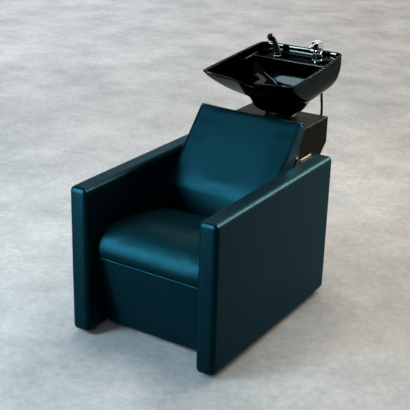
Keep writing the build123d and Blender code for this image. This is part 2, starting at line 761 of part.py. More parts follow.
def make_waste():
    parts["waste_flange"] = waste_flange()
    parts["waste_nut"] = waste_nut()
    parts["waste_tail"] = waste_tail()
    parts["hair_strainer"] = hair_strainer()
    parts["waste_funnel"] = waste_funnel()
    parts["waste_pipe"] = waste_pipe()
    parts["waste_trap"] = waste_trap()
    parts["cold_inlet"] = inlet()
    parts["hot_inlet"] = mirrored(inlet())


# Mixer tap, made upright about its own axis and set on the deck

TAP_PLACE = BASIN_PLACE * Location((FITTING_HALF_SPACING, FITTING_V, -DECK_DROP))
SOCKET_PLACE = BASIN_PLACE * Location((-FITTING_HALF_SPACING, FITTING_V, -DECK_DROP))
LEVER_AXIS = 52.0
DOME_RADIUS = 17.2
COLUMN_RADIUS = 19.0
CAP_BOTTOM = 58.0
CAP_TOP = 93.0
CAP_WIDTH = 38.0
CORE_RADIUS = 12.0
COLUMN_TOP = 43.0
CROSS_PIN_RADIUS = 2.0
LEVER_SWING = Location((0, 0, 0), (0, 0, -12))


def tap_body():
    """A round column on a ringed foot, bored for the turning core."""
    outline = [(0, -38), (16, -38), (16, 0), (22, 0), (22, 6), (24, 7), (24, 10), (22, 12)]
    outline += [(COLUMN_RADIUS, 13), (COLUMN_RADIUS, 39), (16, COLUMN_TOP), (0, COLUMN_TOP)]
    body = upright(outline) - Pos(0, 0, 42) * Cylinder(CORE_RADIUS + RUNNING_GAP, 16)
    return body.moved(TAP_PLACE)


def tap_cartridge():
    """The turning core with its dome, and in the dome a seat for the handle's ball and cross pin."""
    core = upright([(0, 34.5), (CORE_RADIUS, 34.5), (CORE_RADIUS, LEVER_AXIS), (0, LEVER_AXIS)])
    dome = Pos(0, 0, LEVER_AXIS) * Sphere(DOME_RADIUS)
    core += dome - Pos(0, 0, COLUMN_TOP + 0.6 - DOME_RADIUS) * Cylinder(2 * DOME_RADIUS, 2 * DOME_RADIUS)
    core -= Pos(0, 0, LEVER_AXIS) * Sphere(6.2)
    core -= Pos(0, 0, LEVER_AXIS + 12) * Cylinder(10.5, 21)
    core -= lever_pin(CROSS_PIN_RADIUS + RUNNING_GAP, 29)
    return core.moved(TAP_PLACE * LEVER_SWING)


def lever_pin(radius, length):
    return Pos(0, 0, LEVER_AXIS) * Rot(0, 90, 0) * Cylinder(radius, length)


def tap_handle():
    """A square cap over the dome, on a pinned ball stem, with a slim lever that dips to the front."""
    height = CAP_TOP - CAP_BOTTOM
    cap = extrude(Pos(0, 0, CAP_BOTTOM) * RectangleRounded(CAP_WIDTH, CAP_WIDTH, 6), height)
    cap = fillet(cap.edges().group_by(Axis.Z)[-1], 2)
    lever_root = Plane(origin=(0, -CAP_WIDTH / 2 + 2, 84), z_dir=(0, -1, 0)) * RectangleRounded(11, 7, 2.5)
    lever_tip = Plane(origin=(0, -CAP_WIDTH / 2 - 42, 74), z_dir=(0, -1, 0)) * RectangleRounded(8, 5, 2)
    handle = cap + loft([lever_root, lever_tip])
    handle -= Pos(0, 0, LEVER_AXIS) * Sphere(DOME_RADIUS + 0.4)
    handle += Pos(0, 0, LEVER_AXIS) * Sphere(6)
    handle += Pos(0, 0, LEVER_AXIS + 12) * Cylinder(3.5, 18)
    handle += lever_pin(CROSS_PIN_RADIUS, 27)
    return handle.moved(TAP_PLACE * LEVER_SWING)


def tap_nut():
    nut = extrude(Pos(0, 0, -DECK_THICK - 8) * RegularPolygon(24, 6), 8)
    return (nut - Pos(0, 0, -DECK_THICK - 4) * Cylinder(16, 12)).moved(TAP_PLACE)


HOSE_TOP_U = 130.0
HOSE_TOP_W = -104.0


def outlet_pipe():
    """The short bent pipe from the tap's shank to the hose, with its union nut."""
    low = HOSE_TOP_W + DECK_DROP
    reach = HOSE_TOP_U - FITTING_HALF_SPACING
    points = [(8, 0, -38), (8, 0, -46), (reach, 0, -52), (reach, 0, low)]
    tube = pipe(4, 0, points, 5)
    union = Pos(reach, 0, low + 6) * Cylinder(8, 12)
    return (tube + union).moved(TAP_PLACE)


# Hand shower, its socket and the guide for its hose

STEM_BOTTOM = -94.0
GUIDE_BOTTOM = -102.0


def handset_socket():
    socket = upright([(11, -24), (14, -24), (14, 0), (21, 0), (21, 12), (19, 16), (11, 16)])
    return socket.moved(SOCKET_PLACE)


def hose_guide():
    """A nut on the socket's thread with the guide tube below it."""
    outline = [(7.5, GUIDE_BOTTOM), (9.5, GUIDE_BOTTOM), (9.5, -36), (18, -32), (20, -30)]
    outline += [(20, -12), (14, -12), (14, -26), (7.5, -30)]
    return upright(outline).moved(SOCKET_PLACE)


HEAD_CENTRE = Vector(-22, -20, 87)
SPRAY_DIRECTION = Vector(0.05, -0.3, -0.95).normalized()
SPRAY_REACH = 19.0


def handset_body():
    """A tapered grip that leans forwards into a round head, with a short nozzle below it."""
    rings = [(16.3, 0, 0, 18.5), (34, -2, -2, 16), (52, -5, -4, 13.5), (72, -10, -8, 10.8)]
    sections = [Pos(x, y, z) * Circle(radius) for z, x, y, radius in rings]
    body = loft(sections)
    body += Pos(*HEAD_CENTRE) * Sphere(15.5)
    body += Pos(-12, -10, 76) * Sphere(11)
    body += Pos(0, 0, 2) * Cylinder(10.6, 29)
    nozzle = Plane(origin=HEAD_CENTRE, z_dir=SPRAY_DIRECTION)
    body += extrude(nozzle * Circle(9), SPRAY_REACH)
    body -= extrude(nozzle.offset(SPRAY_REACH) * Circle(12), 12)
    return body.moved(SOCKET_PLACE)


def spray_face():
    """The nozzle plate on the end of the shower's nozzle."""
    face = Plane(origin=HEAD_CENTRE + SPRAY_DIRECTION * SPRAY_REACH, z_dir=SPRAY_DIRECTION)
    plate = extrude(face * Circle(8.4), 4)
    for spot in PolarLocations(5, 8):
        plate -= face * spot * Pos(0, 0, 4) * Cylinder(0.8, 2)
    return plate.moved(SOCKET_PLACE)


def handset_stem():
    """The stiff end of the hose below the hand shower, hidden in the guide."""
    length = -STEM_BOTTOM - 12.5
    return (Pos(0, 0, STEM_BOTTOM + length / 2) * Cylinder(HOSE_DIAMETER / 2, length)).moved(SOCKET_PLACE)


def hose_route():
    """The hose from the tap's outlet down behind the housing and up into the guide."""
    start = basin_point(HOSE_TOP_U, FITTING_V, HOSE_TOP_W)
    start_below = basin_point(HOSE_TOP_U, FITTING_V, HOSE_TOP_W - 45)
    end = SOCKET_PLACE.position + BASIN_PLANE.z_dir * STEM_BOTTOM
    end_below = SOCKET_PLACE.position + BASIN_PLANE.z_dir * (STEM_BOTTOM - 45)
    middle = [
        (131, 1215, 800), (137, 1216, 745), (136, 1215, 690), (131, 1214, 634), (118, 1214, 580),
        (93, 1216, 532), (52, 1218, 502), (4, 1220, 494), (-43, 1219, 507), (-82, 1217, 541),
        (-106, 1216, 590), (-117, 1215, 645), (-119, 1215, 702), (-114, 1216, 758),
    ]
    return [start, start_below] + [Vector(*point) for point in middle] + [end_below, end]


def shower_hose():
    route = hose_route()
    radii = []
    for before, corner, after in zip(route, route[1:], route[2:]):
        turn = (corner - before).get_angle(after - corner)
        run = min((corner - before).length, (after - corner).length)
        radii.append(0.45 * run / tan(radians(turn / 2)))
    print("hose bend radii", [round(radius) for radius in radii])
    path = FilletPolyline(*route, radius=radii)
    start = Plane(origin=path @ 0, z_dir=path % 0)
    hose = sweep(start * Circle(HOSE_DIAMETER / 2), path=path)
    whole = pi * HOSE_DIAMETER ** 2 / 4 * path.length
    print("hose length", round(path.length), "volume ratio", round(hose.volume / whole, 4))
    return hose


def make_fittings():
    parts["basin_bowl"] = basin_bowl()
    parts["tap_body"] = tap_body()
    parts["tap_cartridge"] = tap_cartridge()
    parts["tap_handle"] = tap_handle()
    parts["tap_nut"] = tap_nut()
    parts["outlet_pipe"] = outlet_pipe()
    parts["handset_socket"] = handset_socket()
    parts["hose_guide"] = hose_guide()
    parts["handset_body"] = handset_body()
    parts["spray_face"] = spray_face()
    parts["handset_stem"] = handset_stem()
    parts["shower_hose"] = shower_hose()


def main():
    os.makedirs("parts", exist_ok=True)
    make_arms()
    make_seat()
    make_back()
    make_frame()
    make_housing()
    make_tilt()
    make_waste()
    make_fittings()
    middle_y = parts["basin_bowl"].bounding_box().max.Y / 2
    for name, solid in parts.items():
        export_step(solid.moved(Location((0, -middle_y, 0))), f"parts/{name}.step")
    print(len(parts), "sub-parts, middle at y", round(middle_y, 3))


main()
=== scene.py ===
import json
import math

import bmesh
import bpy
from mathutils import Matrix, Vector


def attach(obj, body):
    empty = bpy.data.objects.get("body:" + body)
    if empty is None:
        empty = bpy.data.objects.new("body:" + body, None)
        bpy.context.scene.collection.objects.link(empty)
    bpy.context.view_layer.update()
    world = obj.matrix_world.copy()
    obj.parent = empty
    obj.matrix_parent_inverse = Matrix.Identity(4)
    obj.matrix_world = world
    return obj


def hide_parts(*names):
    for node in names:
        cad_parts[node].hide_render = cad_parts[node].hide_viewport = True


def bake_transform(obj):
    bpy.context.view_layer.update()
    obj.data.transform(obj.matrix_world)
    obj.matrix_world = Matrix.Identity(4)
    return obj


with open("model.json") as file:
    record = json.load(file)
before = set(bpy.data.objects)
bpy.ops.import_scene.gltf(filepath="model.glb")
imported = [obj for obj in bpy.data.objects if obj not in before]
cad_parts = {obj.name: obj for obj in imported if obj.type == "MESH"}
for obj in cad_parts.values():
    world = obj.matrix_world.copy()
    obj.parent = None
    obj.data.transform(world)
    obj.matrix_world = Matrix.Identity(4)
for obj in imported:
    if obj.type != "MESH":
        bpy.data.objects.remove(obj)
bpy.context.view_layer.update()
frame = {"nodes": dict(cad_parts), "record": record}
nodes = frame["nodes"]

# Places, in metres, in the row frame
MIDDLE_Y = 0.630624
RIM_TILT = math.radians(5)
RIM_FRONT = Vector((0, 0.752 - MIDDLE_Y, 0.959))


def across(y):
    """A place measured from the front of the arms, in the row frame."""
    return y - MIDDLE_Y


def basin_point(u, v, w):
    """A place across, back along and up from the basin's rim plane, given in millimetres."""
    along = Vector((0, math.cos(RIM_TILT), math.sin(RIM_TILT)))
    up = Vector((0, -math.sin(RIM_TILT), math.cos(RIM_TILT)))
    return RIM_FRONT + Vector((u, 0, 0)) * 0.001 + along * v * 0.001 + up * w * 0.001


# Camera, at the photograph's place

CAMERA_PLACE = Vector((1.97953, across(-2.72813), 2.01136))
CAMERA_AZIMUTH = math.radians(31.877)
CAMERA_ELEVATION = math.radians(22.0755)
CAMERA_ROLL = math.radians(1.5865)
FOCAL_PIXELS = 987.586
FRAME_PIXELS = 410


def make_camera():
    a = CAMERA_AZIMUTH
    e = CAMERA_ELEVATION
    back = Vector((math.sin(a) * math.cos(e), -math.cos(a) * math.cos(e), math.sin(e)))
    right = Vector((math.cos(a), math.sin(a), 0))
    up = back.cross(right)
    turned_right = right * math.cos(CAMERA_ROLL) + up * math.sin(CAMERA_ROLL)
    turned_up = up * math.cos(CAMERA_ROLL) - right * math.sin(CAMERA_ROLL)
    data = bpy.data.cameras.new("camera")
    data.sensor_width = 36
    data.lens = FOCAL_PIXELS / FRAME_PIXELS * data.sensor_width
    camera = bpy.data.objects.new("camera", data)
    bpy.context.scene.collection.objects.link(camera)
    turn = Matrix((turned_right, turned_up, back)).transposed().to_4x4()
    camera.matrix_world = Matrix.Translation(CAMERA_PLACE) @ turn
    bpy.context.scene.camera = camera


make_camera()


# Materials

def new_material(name):
    """A material and helpers to add and join its nodes."""
    material = bpy.data.materials.new(name)
    material.use_nodes = True
    tree = material.node_tree
    return material, tree, tree.nodes["Principled BSDF"]


def object_place(tree, scale=(1, 1, 1)):
    coordinates = tree.nodes.new("ShaderNodeTexCoord")
    mapping = tree.nodes.new("ShaderNodeMapping")
    mapping.inputs["Scale"].default_value = scale
    tree.links.new(coordinates.outputs["Object"], mapping.inputs["Vector"])
    return mapping.outputs["Vector"]


def noise(tree, place, scale, detail=2.0, roughness=0.5):
    node = tree.nodes.new("ShaderNodeTexNoise")
    node.inputs["Scale"].default_value = scale
    node.inputs["Detail"].default_value = detail
    node.inputs["Roughness"].default_value = roughness
    tree.links.new(place, node.inputs["Vector"])
    return node.outputs["Fac"]


def spread(tree, value, low, high, from_low=0.3, from_high=0.7):
    """value, which runs about from_low to from_high, spread over low to high."""
    node = tree.nodes.new("ShaderNodeMapRange")
    node.inputs["From Min"].default_value = from_low
    node.inputs["From Max"].default_value = from_high
    node.inputs["To Min"].default_value = low
    node.inputs["To Max"].default_value = high
    tree.links.new(value, node.inputs["Value"])
    return node.outputs["Result"]


def mix_colours(tree, value, low, high):
    node = tree.nodes.new("ShaderNodeMix")
    node.data_type = "RGBA"
    node.inputs[6].default_value = (*low, 1)
    node.inputs[7].default_value = (*high, 1)
    tree.links.new(value, node.inputs[0])
    return node.outputs[2]


def bump(tree, shader, height, distance, strength=1.0, below=None):
    node = tree.nodes.new("ShaderNodeBump")
    node.inputs["Distance"].default_value = distance
    node.inputs["Strength"].default_value = strength
    tree.links.new(height, node.inputs["Height"])
    if below:
        tree.links.new(below, node.inputs["Normal"])
    tree.links.new(node.outputs["Normal"], shader.inputs["Normal"])
    return node.outputs["Normal"]


def calculate(tree, operation, *values, clamp=False):
    """The result of a Math node on sockets and fixed numbers."""
    node = tree.nodes.new("ShaderNodeMath")
    node.operation = operation
    node.use_clamp = clamp
    for socket, value in zip(node.inputs, values):
        if isinstance(value, float):
            socket.default_value = value
        else:
            tree.links.new(value, socket)
    return node.outputs[0]


def multiply_colours(tree, first, second, share):
    """first, multiplied with second by a share."""
    node = tree.nodes.new("ShaderNodeMix")
    node.data_type = "RGBA"
    node.blend_type = "MULTIPLY"
    node.inputs[0].default_value = share
    tree.links.new(first, node.inputs[6])
    tree.links.new(second, node.inputs[7])
    return node.outputs[2]


# Puckers across the arms' edges: their pitch, the middle of an arm, and how far from it
# and how high up they come in
PUCKER_PITCH = 0.010
ARM_MIDDLE = 0.296
PUCKER_ASIDE = (0.018, 0.036)
PUCKER_HEIGHT = (0.605, 0.630)


def puckers(tree, place):
    """Small ribs across the arms' top edges, where the seams draw the cover in."""
    parts = tree.nodes.new("ShaderNodeSeparateXYZ")
    tree.links.new(place, parts.inputs["Vector"])
    turns = calculate(tree, "MULTIPLY", parts.outputs["Y"], 2 * math.pi / PUCKER_PITCH)
    ribs = calculate(tree, "SINE", turns)
    aside = calculate(tree, "ABSOLUTE", parts.outputs["X"])
    away = calculate(tree, "ABSOLUTE", calculate(tree, "SUBTRACT", aside, ARM_MIDDLE))
    near_edge = spread(tree, away, 0, 1, *PUCKER_ASIDE)
    near_top = spread(tree, parts.outputs["Z"], 0, 1, *PUCKER_HEIGHT)
    return calculate(tree, "MULTIPLY", calculate(tree, "MULTIPLY", near_edge, near_top), ribs)


# Black leatherette's tones, tinted teal: a painted cast of the blue window light
LEATHER_DARK_PAINTED_TEAL = (0.0010, 0.0105, 0.0150)
LEATHER_LIGHT_PAINTED_TEAL = (0.0015, 0.0130, 0.0184)


def leatherette(name="leatherette", arms=False):
    """Black leatherette: a fine pebble grain and faint wrinkles, with a painted blue-green cast of
    window light in its colour and sheen.
    """
    material, tree, shader = new_material(name)
    place = object_place(tree)
    broad = spread(tree, noise(tree, place, 5, 3), 0, 1)
    colour = mix_colours(tree, broad, LEATHER_DARK_PAINTED_TEAL, LEATHER_LIGHT_PAINTED_TEAL)
    tree.links.new(colour, shader.inputs["Base Color"])
    rough = 0.38 if arms else 0.50
    roughness = spread(tree, noise(tree, place, 60, 3), rough, rough + 0.06)
    tree.links.new(roughness, shader.inputs["Roughness"])
    grain = tree.nodes.new("ShaderNodeTexVoronoi")
    grain.feature = "SMOOTH_F1"
    grain.inputs["Scale"].default_value = 700
    grain.inputs["Smoothness"].default_value = 0.7
    tree.links.new(place, grain.inputs["Vector"])
    soft = bump(tree, shader, noise(tree, place, 9, 3, 0.5), 0.004, 0.06)
    if arms:
        soft = bump(tree, shader, puckers(tree, place), 0.0009, 1.0, below=soft)
    bump(tree, shader, grain.outputs["Distance"], 0.0003, 0.30, below=soft)
    # partly metallic, so that the painted blue-green sheen of the window light keeps its colour at
    # a slant
    shader.inputs["Metallic"].default_value = 0.45
    shader.inputs["Specular IOR Level"].default_value = 0.06
    shader.inputs["Specular Tint"].default_value = (0.10, 0.75, 1.0, 1)
    return material


def glaze():
    """Deep black glaze with painted shade in its reflections: it stays dark where it mirrors the
    floor at a slant.
    """
    material, tree, shader = new_material("glaze")
    place = object_place(tree)
    clouds = noise(tree, place, 9)
    colour = mix_colours(tree, clouds, (0.010, 0.011, 0.011), (0.014, 0.016, 0.016))
    tree.links.new(colour, shader.inputs["Base Color"])
    tree.links.new(spread(tree, noise(tree, place, 55, 3), 0.03, 0.07), shader.inputs["Roughness"])
    rounded = tree.nodes.new("ShaderNodeBevel")
    rounded.samples = 8
    rounded.inputs["Radius"].default_value = 0.005
    bump(tree, shader, noise(tree, place, 42, 2), 0.0006, 0.06, below=rounded.outputs["Normal"])
    # metallic with a grey edge colour, which dims reflections at a slant: painted shade for a
    # darker room
    shader.inputs["Metallic"].default_value = 1
    shader.inputs["Specular Tint"].default_value = (0.54, 0.57, 0.56, 1)
    return material


def laminate():
    """Black board with a semi-gloss face and a faint pressed texture."""
    material, tree, shader = new_material("laminate")
    place = object_place(tree)
    clouds = noise(tree, place, 14, 4)
    colour = mix_colours(tree, clouds, (0.0016, 0.0030, 0.0029), (0.0026, 0.0042, 0.0038))
    tree.links.new(colour, shader.inputs["Base Color"])
    tree.links.new(spread(tree, noise(tree, place, 24, 3), 0.30, 0.36), shader.inputs["Roughness"])
    bump(tree, shader, noise(tree, place, 30, 2), 0.0004, 0.05)
    shader.inputs["Specular IOR Level"].default_value = 0.018
    shader.inputs["Specular Tint"].default_value = (0.6, 1.0, 0.9, 1)
    return material


def chrome():
    """Bright plating with a trace of wiping marks."""
    material, tree, shader = new_material("chrome")
    place = object_place(tree)
    colour = mix_colours(tree, noise(tree, place, 60), (0.78, 0.80, 0.82), (0.86, 0.87, 0.88))
    tree.links.new(colour, shader.inputs["Base Color"])
    tree.links.new(spread(tree, noise(tree, place, 160, 3), 0.04, 0.10), shader.inputs["Roughness"])
    shader.inputs["Metallic"].default_value = 1
    return material


def metal(name, low, high, rough):
    """Metal with a fine brushed grain."""
    material, tree, shader = new_material(name)
    place = object_place(tree, (40, 900, 40))
    grain = noise(tree, place, 3, 3)
    colour = mix_colours(tree, spread(tree, grain, 0, 1), low, high)
    tree.links.new(colour, shader.inputs["Base Color"])
    tree.links.new(spread(tree, grain, *rough), shader.inputs["Roughness"])
    bump(tree, shader, grain, 0.0001, 0.2)
    shader.inputs["Metallic"].default_value = 1
    return material


def moulded(name, low, high, rough, texture=0.12, gloss=0.5):
    """Moulded plastic, rubber or a powder coat, with a fine skin."""
    material, tree, shader = new_material(name)
    place = object_place(tree)
    colour = mix_colours(tree, noise(tree, place, 30, 3), low, high)
    tree.links.new(colour, shader.inputs["Base Color"])
    tree.links.new(spread(tree, noise(tree, place, 220, 3), *rough), shader.inputs["Roughness"])
    bump(tree, shader, noise(tree, place, 1500, 2), 0.0002, texture)
    shader.inputs["Specular IOR Level"].default_value = gloss
    return material


def timber():
    """Raw softwood and board, with long grain."""
    material, tree, shader = new_material("timber")
    place = object_place(tree, (60, 4, 60))
    grain = noise(tree, place, 1.5, 5, 0.6)
    colour = mix_colours(tree, spread(tree, grain, 0, 1), (0.30, 0.18, 0.085), (0.52, 0.36, 0.20))
    tree.links.new(colour, shader.inputs["Base Color"])
    tree.links.new(spread(tree, grain, 0.55, 0.75), shader.inputs["Roughness"])
    bump(tree, shader, grain, 0.0008, 0.3)
    return material


def dark_steel():
    return moulded("frame_steel", (0.010, 0.010, 0.011), (0.016, 0.016, 0.017), (0.38, 0.5))


def bright_steel():
    return metal("bright_steel", (0.50, 0.50, 0.50), (0.68, 0.68, 0.67), (0.22, 0.36))


def black_plastic():
    low = (0.0035, 0.004, 0.0045)
    high = (0.006, 0.0065, 0.007)
    return moulded("foot_plastic", low, high, (0.34, 0.44), gloss=0.04)


def pale_plastic():
    return moulded("waste_plastic", (0.55, 0.55, 0.52), (0.64, 0.64, 0.60), (0.30, 0.42))


def brass():
    return metal("brass", (0.58, 0.40, 0.17), (0.74, 0.55, 0.27), (0.20, 0.34))


def black_rubber():
    low = (0.004, 0.0045, 0.005)
    high = (0.008, 0.0085, 0.009)
    return moulded("hose", low, high, (0.35, 0.48), texture=0.3, gloss=0.07)


MATERIALS = {
    "leatherette": leatherette(),
    "timber": timber(),
    "board": laminate(),
    "frame_steel": dark_steel(),
    "bright_steel": bright_steel(),
    "foot_plastic": black_plastic(),
    "waste_plastic": pale_plastic(),
    "brass": brass(),
    "ceramic": glaze(),
    "chrome": chrome(),
    "hose": black_rubber(),
}


def finish_nodes():
    """Gives every CAD node the finish of its slot."""
    for entry in frame["record"]["subparts"]:
        node = nodes[entry["node"]]
        for place in node.material_slots:
            place.material = MATERIALS[entry["material_slot"]]


finish_nodes()


# Mesh helpers

def finish_mesh(name, mesh_bm, body, slot):
    """Turns a bmesh into a piece that rides on a body in the finish of a slot."""
    bmesh.ops.remove_doubles(mesh_bm, verts=mesh_bm.verts, dist=1e-6)
    bmesh.ops.recalc_face_normals(mesh_bm, faces=mesh_bm.faces)
    data = bpy.data.meshes.new(name)
    mesh_bm.to_mesh(data)
    mesh_bm.free()
    data.shade_smooth()
    piece = bpy.data.objects.new(name, data)
    bpy.context.scene.collection.objects.link(piece)
    data.materials.append(MATERIALS[slot])
    if body:
        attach(piece, body)
    return piece


def skin(mesh_bm, one, two):
    """Joins two closed rings of points with faces."""
    for i in range(len(one)):
        j = (i + 1) % len(one)
        mesh_bm.faces.new((one[i], one[j], two[j], two[i]))


def lofted(name, sections, slot, body="base"):
    """A solid through rows of points, closed at both ends."""
    mesh_bm = bmesh.new()
    rows = [[mesh_bm.verts.new(point) for point in section] for section in sections]
    for one, two in zip(rows, rows[1:]):
        skin(mesh_bm, one, two)
    mesh_bm.faces.new(rows[0])
    mesh_bm.faces.new(rows[-1])
    return finish_mesh(name, mesh_bm, body, slot)


def ringed(name, rows, slot, body):
    """A closed ring through rows of points."""
    mesh_bm = bmesh.new()
    rows = [[mesh_bm.verts.new(point) for point in row] for row in rows]
    for one, two in zip(rows, rows[1:] + rows[:1]):
        skin(mesh_bm, one, two)
    return finish_mesh(name, mesh_bm, body, slot)


def tube(name, route, radius, slot, body, order, steps, sides):
    """A round tube along one smooth curve."""
    curve = bpy.data.curves.new(name, "CURVE")
    curve.dimensions = "3D"
    spline = curve.splines.new("NURBS")
    spline.points.add(len(route) - 1)
    for point, place in zip(spline.points, route):
        point.co = (*place, 1)
    spline.order_u = order
    spline.use_endpoint_u = True
    spline.resolution_u = steps
    curve.bevel_depth = radius
    curve.bevel_resolution = sides
    curve.use_fill_caps = True
    piece = bpy.data.objects.new(name, curve)
    bpy.context.scene.collection.objects.link(piece)
    curve.materials.append(MATERIALS[slot])
    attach(piece, body)
    return piece


def eased(low, high, rounding, count):
    """Places from low to high, closer together over the rounding at each end."""
    curve = [rounding * i / 6 for i in range(6)]
    middle = [rounding + (high - low - 2 * rounding) * i / count for i in range(count + 1)]
    places = [low + offset for offset in curve + middle]
    return places + [high - offset for offset in reversed(curve)]


SLAB_STEPS = 24


def padded_slab(name, low, high, rounding, crown, shape=None, seam=None):
    """A padded slab: a box with round edges whose faces swell by crown; shape moves each point.

    seam gives the distance from each x face at which a sewn seam runs all round.
    """
    low = Vector(low)
    high = Vector(high)
    steps = [eased(low[i], high[i], rounding, SLAB_STEPS) for i in range(3)]
    if seam:
        steps[0] = seam_steps(low.x, high.x, seam)
    mesh_bm = bmesh.new()
    for axis in range(3):
        first, second = [i for i in range(3) if i != axis]
        for end in (low[axis], high[axis]):
            grid = []
            for a in steps[first]:
                row = []
                for b in steps[second]:
                    point = Vector((0, 0, 0))
                    point[axis] = end
                    point[first] = a
                    point[second] = b
                    swollen = swell(point, low, high, rounding, crown, seam)
                    row.append(mesh_bm.verts.new(swollen))
                grid.append(row)
            for one, two in zip(grid, grid[1:]):
                for j in range(len(one) - 1):
                    mesh_bm.faces.new((one[j], two[j], two[j + 1], one[j + 1]))
    if shape:
        for vert in mesh_bm.verts:
            vert.co = shape(vert.co)
    return finish_mesh(name, mesh_bm, "base", "leatherette")


SEAM_HALF = 0.0016
SEAM_DEPTH = 0.0011
SEAM_SHARES = (-1, -0.7, -0.4, -0.15, 0, 0.15, 0.4, 0.7, 1)


def seam_steps(low, high, seam):
    """Places across a slab, close together at each sewn seam."""
    near = [0, seam * 0.3, seam * 0.6]
    near += [seam + SEAM_HALF * share for share in SEAM_SHARES]
    last = near[-1]
    near += [last + 0.002, last + 0.005, last + 0.010]
    between = high - low - 2 * near[-1]
    middle = [low + near[-1] + between * i / 8 for i in range(1, 8)]
    far = [high - offset for offset in reversed(near)]
    return [low + offset for offset in near] + middle + far


def swell(point, low, high, rounding, crown, seam=None):
    """A box's surface point, rounded at the edges and pushed out over the middle of its face."""
    least = [low[i] + rounding for i in range(3)]
    most = [high[i] - rounding for i in range(3)]
    inner = Vector([min(max(point[i], least[i]), most[i]) for i in range(3)])
    out = point - inner
    if out.length > 0:
        out.normalize()
    middle = (low + high) / 2
    half = (high - low) / 2
    fullness = 1.0
    for i in range(3):
        across_face = (point[i] - middle[i]) / half[i]
        fullness *= 1 - (1 - abs(out[i])) * across_face ** 4
    groove = 0
    from_side = min(point.x - low.x, high.x - point.x)
    if seam and from_side > 1e-7:
        groove = SEAM_DEPTH * math.exp(-(((from_side - seam) / SEAM_HALF) ** 2) * 4)
    return inner + out * (rounding + crown * fullness - groove)


# Arms

ARM_INNER = 0.254
ARM_OUTER = 0.338
ARM_LENGTH = 0.936
ARM_TOP = 0.640
ARM_BOTTOM = 0.018
ARM_ROUND = 0.020
ARM_SEAM = 0.0075
ARM_CROWN = 0.0012
ARM_LEATHERETTE = leatherette("leatherette_arms", arms=True)

STITCH_PITCH = 0.0052
STITCH_LENGTH = 0.0036
STITCH_RADIUS = 0.00042
STITCH_INSET = 0.0002
STITCH_BESIDE = 0.0032
STITCH_RINGS = ((-1, 0.25), (-0.7, 0.9), (0, 1.15), (0.7, 0.9), (1, 0.25))
STITCH_SIDES = 6


def make_arm(name, side):
    x0, x1 = sorted((side * (ARM_INNER + 0.0008), side * (ARM_OUTER - 0.0008)))
    low = (x0, across(0.001), ARM_BOTTOM)
    high = (x1, across(ARM_LENGTH - 0.001), ARM_TOP - 0.001)
    arm = padded_slab(name + "_upholstery", low, high, ARM_ROUND, ARM_CROWN, seam=ARM_SEAM)
    arm.data.materials[0] = ARM_LEATHERETTE
    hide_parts(name + "_cover")
    return low, high


def arm_edge(low, high, x, inset):
    """Places for stitches up the front, along the top and down the rear of an arm.

    Each comes with its outward direction and the seam's own.
    """
    radius = ARM_ROUND - inset
    y0, y1 = low[1] + inset, high[1] - inset
    z0, z1 = low[2] + 0.03, high[2] - inset
    places = []

    def straight(start, end, out):
        start = Vector(start)
        end = Vector(end)
        along = (end - start).normalized()
        count = int((end - start).length / STITCH_PITCH)
        for i in range(count):
            places.append((start.lerp(end, (i + 0.5) / count), Vector(out), along))

    def corner(centre, first, second):
        count = max(2, int(radius * math.pi / 2 / STITCH_PITCH))
        for i in range(count):
            turn = math.pi / 2 * (i + 0.5) / count
            out = Vector(first) * math.cos(turn) + Vector(second) * math.sin(turn)
            along = Vector(second) * math.cos(turn) - Vector(first) * math.sin(turn)
            places.append((Vector(centre) + out * radius, out, along))

    straight((x, y0, z0), (x, y0, z1 - radius), (0, -1, 0))
    corner((x, y0 + radius, z1 - radius), (0, -1, 0), (0, 0, 1))
    straight((x, y0 + radius, z1), (x, y1 - radius, z1), (0, 0, 1))
    corner((x, y1 - radius, z1 - radius), (0, 0, 1), (0, 1, 0))
    straight((x, y1, z1 - radius), (x, y1, z0), (0, 1, 0))
    return places


def stitches(name, places):
    """Short rounded thread stitches lying along a seam."""
    mesh_bm = bmesh.new()
    for place, out, along in places:
        aside = along.cross(out)
        rings = []
        for share, fullness in STITCH_RINGS:
            middle = place + along * (share * STITCH_LENGTH / 2)
            middle += out * (fullness - 0.6) * STITCH_RADIUS
            ring = []
            for k in range(STITCH_SIDES):
                turn = 2 * math.pi * k / STITCH_SIDES
                offset = out * math.sin(turn) + aside * math.cos(turn)
                ring.append(mesh_bm.verts.new(middle + offset * STITCH_RADIUS * fullness))
            rings.append(ring)
        for one, two in zip(rings, rings[1:]):
            skin(mesh_bm, one, two)
        mesh_bm.faces.new(rings[0])
        mesh_bm.faces.new(rings[-1])
    finish_mesh(name, mesh_bm, "base", "leatherette")


def make_arms():
    for name, side in (("left_arm", -1), ("right_arm", 1)):
        low, high = make_arm(name, side)
        beside = ARM_SEAM + STITCH_BESIDE
        places = arm_edge(low, high, low[0] + beside, STITCH_INSET)
        places += arm_edge(low, high, high[0] - beside, STITCH_INSET)
        stitches(name + "_stitches", places)


make_arms()


# Cushions swell like sewn covers under pressure

VOXEL = 0.006
PRESSURE = 4.0
CLOTH_FRAMES = 20
SMOOTHING = 14


def evaluated_mesh(work):
    """The mesh of an object with its modifiers applied."""
    bpy.context.view_layer.update()
    shown = work.evaluated_get(bpy.context.evaluated_depsgraph_get())
    return bpy.data.meshes.new_from_object(shown)


def smoothed(mesh, moves):
    """Each point's move, averaged with its neighbours', so that no crease is too fine."""
    sums = [move.copy() for move in moves]
    counts = [1] * len(moves)
    for edge in mesh.edges:
        one, two = edge.vertices
        sums[one] += moves[two]
        sums[two] += moves[one]
        counts[one] += 1
        counts[two] += 1
    return [total / count for total, count in zip(sums, counts)]


